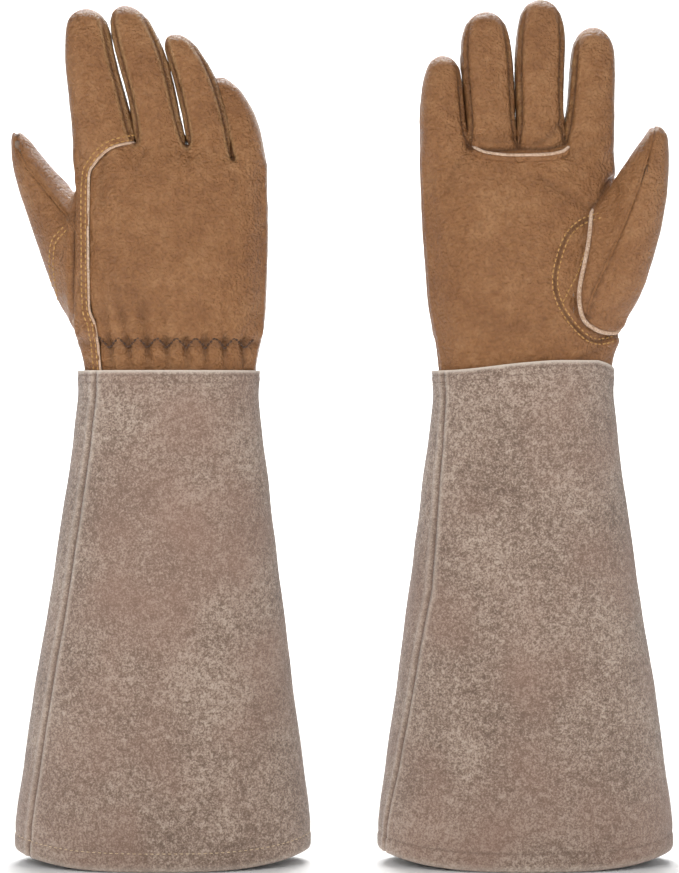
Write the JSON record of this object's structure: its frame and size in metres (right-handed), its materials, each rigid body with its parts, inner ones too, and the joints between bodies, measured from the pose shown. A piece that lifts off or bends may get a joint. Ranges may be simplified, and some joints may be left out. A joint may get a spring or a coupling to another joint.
{
  "type": "gardening gloves",
  "caption": "Leather gardening gloves with long flared suede cuffs, gathered wrists and bending fingers and thumbs, standing open on their hems.",
  "frame": {"origin": "middle of the pair on the plane of the two hems", "axes": "+Z to the fingertips, +X across the pair from the glove that shows its back to the glove that shows its palm, +Y away from the viewer"},
  "size_m": [0.3749, 0.08, 0.4785],
  "materials": {
    "grain_leather": "smooth tan grain leather, soft sheen",
    "suede": "brushed suede, napped and mottled",
    "raw_edge": "raw cut leather edge",
    "thread": "waxed twisted thread",
    "elastic": "woven elastic tape"
  },
  "bodies": {
    "glove1_cuff": {"glove1_cuff_back_panel": "suede", "glove1_cuff_palm_panel": "suede", "glove1_cuff_side_stitching": "thread", "glove1_cuff_top_stitching": "thread", "glove1_cuff_hem_stitching": "thread", "glove1_wrist_gather": "grain_leather", "glove1_wrist_elastic": "elastic", "glove1_wrist_zigzag_stitching": "thread"},
    "glove1_hand": {"glove1_hand_back_panel": "grain_leather", "glove1_hand_palm_panel": "grain_leather", "glove1_back_seam_stitching": "thread", "glove1_finger_base_welt": "raw_edge", "glove1_fork_gussets": "grain_leather", "glove1_thumb_gusset": "grain_leather", "glove1_thumb_welt": "raw_edge", "glove1_thumb_stitching": "thread"},
    "glove1_index": {"glove1_index_wrap": "grain_leather", "glove1_index_fourchette": "grain_leather"},
    "glove1_middle": {"glove1_middle_front": "grain_leather", "glove1_middle_back": "grain_leather", "glove1_middle_fourchettes": "grain_leather"},
    "glove1_ring": {"glove1_ring_front": "grain_leather", "glove1_ring_back": "grain_leather", "glove1_ring_fourchettes": "grain_leather"},
    "glove1_little": {"glove1_little_front": "grain_leather", "glove1_little_back": "grain_leather", "glove1_little_fourchette": "grain_leather"},
    "glove1_thumb": {"glove1_thumb_outer": "grain_leather", "glove1_thumb_inner": "grain_leather"},
    "glove2_cuff": {"glove2_cuff_back_panel": "suede", "glove2_cuff_palm_panel": "suede", "glove2_cuff_side_stitching": "thread", "glove2_cuff_top_stitching": "thread", "glove2_cuff_hem_stitching": "thread", "glove2_wrist_gather": "grain_leather", "glove2_wrist_elastic": "elastic", "glove2_wrist_zigzag_stitching": "thread"},
    "glove2_hand": {"glove2_hand_back_panel": "grain_leather", "glove2_hand_palm_panel": "grain_leather", "glove2_back_seam_stitching": "thread", "glove2_finger_base_welt": "raw_edge", "glove2_fork_gussets": "grain_leather", "glove2_thumb_gusset": "grain_leather", "glove2_thumb_welt": "raw_edge", "glove2_thumb_stitching": "thread"},
    "glove2_index": {"glove2_index_wrap": "grain_leather", "glove2_index_fourchette": "grain_leather"},
    "glove2_middle": {"glove2_middle_front": "grain_leather", "glove2_middle_back": "grain_leather", "glove2_middle_fourchettes": "grain_leather"},
    "glove2_ring": {"glove2_ring_front": "grain_leather", "glove2_ring_back": "grain_leather", "glove2_ring_fourchettes": "grain_leather"},
    "glove2_little": {"glove2_little_front": "grain_leather", "glove2_little_back": "grain_leather", "glove2_little_fourchette": "grain_leather"},
    "glove2_thumb": {"glove2_thumb_outer": "grain_leather", "glove2_thumb_inner": "grain_leather"}
  },
  "joints": [
    {"name": "glove1_wrist_bend", "type": "hinge", "parent": "glove1_cuff", "child": "glove1_hand", "pos_m": [-0.0955, 0, 0.283], "axis": [-1, 0, 0], "range_deg": [-20, 20], "deforming": ["glove1_wrist_gather", "glove1_wrist_elastic", "glove1_wrist_zigzag_stitching"]},
    {"name": "glove1_index_curl", "type": "hinge", "parent": "glove1_hand", "child": "glove1_index", "pos_m": [-0.1324, 0.013, 0.405], "axis": [-0.9863, 0, -0.165], "range_deg": [0, 75]},
    {"name": "glove1_middle_curl", "type": "hinge", "parent": "glove1_hand", "child": "glove1_middle", "pos_m": [-0.1006, 0.013, 0.405], "axis": [-0.9781, 0, -0.2079], "range_deg": [0, 75]},
    {"name": "glove1_ring_curl", "type": "hinge", "parent": "glove1_hand", "child": "glove1_ring", "pos_m": [-0.074, 0.0125, 0.4035], "axis": [-0.9816, 0, -0.1908], "range_deg": [0, 75]},
    {"name": "glove1_little_curl", "type": "hinge", "parent": "glove1_hand", "child": "glove1_little", "pos_m": [-0.052, 0.013, 0.4032], "axis": [-0.9781, 0, -0.2079], "range_deg": [0, 75]},
    {"name": "glove1_thumb_bend", "type": "hinge", "parent": "glove1_hand", "child": "glove1_thumb", "pos_m": [-0.162, 0.031, 0.369], "axis": [-0.8829, 0, -0.4695], "range_deg": [0, 50]},
    {"name": "glove2_set_down", "type": "slide", "parent": "glove1_cuff", "child": "glove2_cuff", "axis": [1, 0, 0], "range_m": [0, 0.15]},
    {"name": "glove2_wrist_bend", "type": "hinge", "parent": "glove2_cuff", "child": "glove2_hand", "pos_m": [0.1035, 0, 0.283], "axis": [1, 0, 0], "range_deg": [-20, 20], "deforming": ["glove2_wrist_gather", "glove2_wrist_elastic", "glove2_wrist_zigzag_stitching"]},
    {"name": "glove2_index_curl", "type": "hinge", "parent": "glove2_hand", "child": "glove2_index", "pos_m": [0.1392, -0.013, 0.4045], "axis": [0.999, 0, -0.0436], "range_deg": [0, 75]},
    {"name": "glove2_middle_curl", "type": "hinge", "parent": "glove2_hand", "child": "glove2_middle", "pos_m": [0.112, -0.013, 0.4045], "axis": [1, 0, 0], "range_deg": [0, 75]},
    {"name": "glove2_ring_curl", "type": "hinge", "parent": "glove2_hand", "child": "glove2_ring", "pos_m": [0.0852, -0.013, 0.4045], "axis": [0.9994, 0, 0.0349], "range_deg": [0, 75]},
    {"name": "glove2_little_curl", "type": "hinge", "parent": "glove2_hand", "child": "glove2_little", "pos_m": [0.0588, -0.0125, 0.4045], "axis": [0.9998, 0, 0.0174], "range_deg": [0, 75]},
    {"name": "glove2_thumb_bend", "type": "hinge", "parent": "glove2_hand", "child": "glove2_thumb", "pos_m": [0.1645, -0.0315, 0.373], "axis": [0.9511, 0, -0.309], "range_deg": [0, 50]}
  ]
}
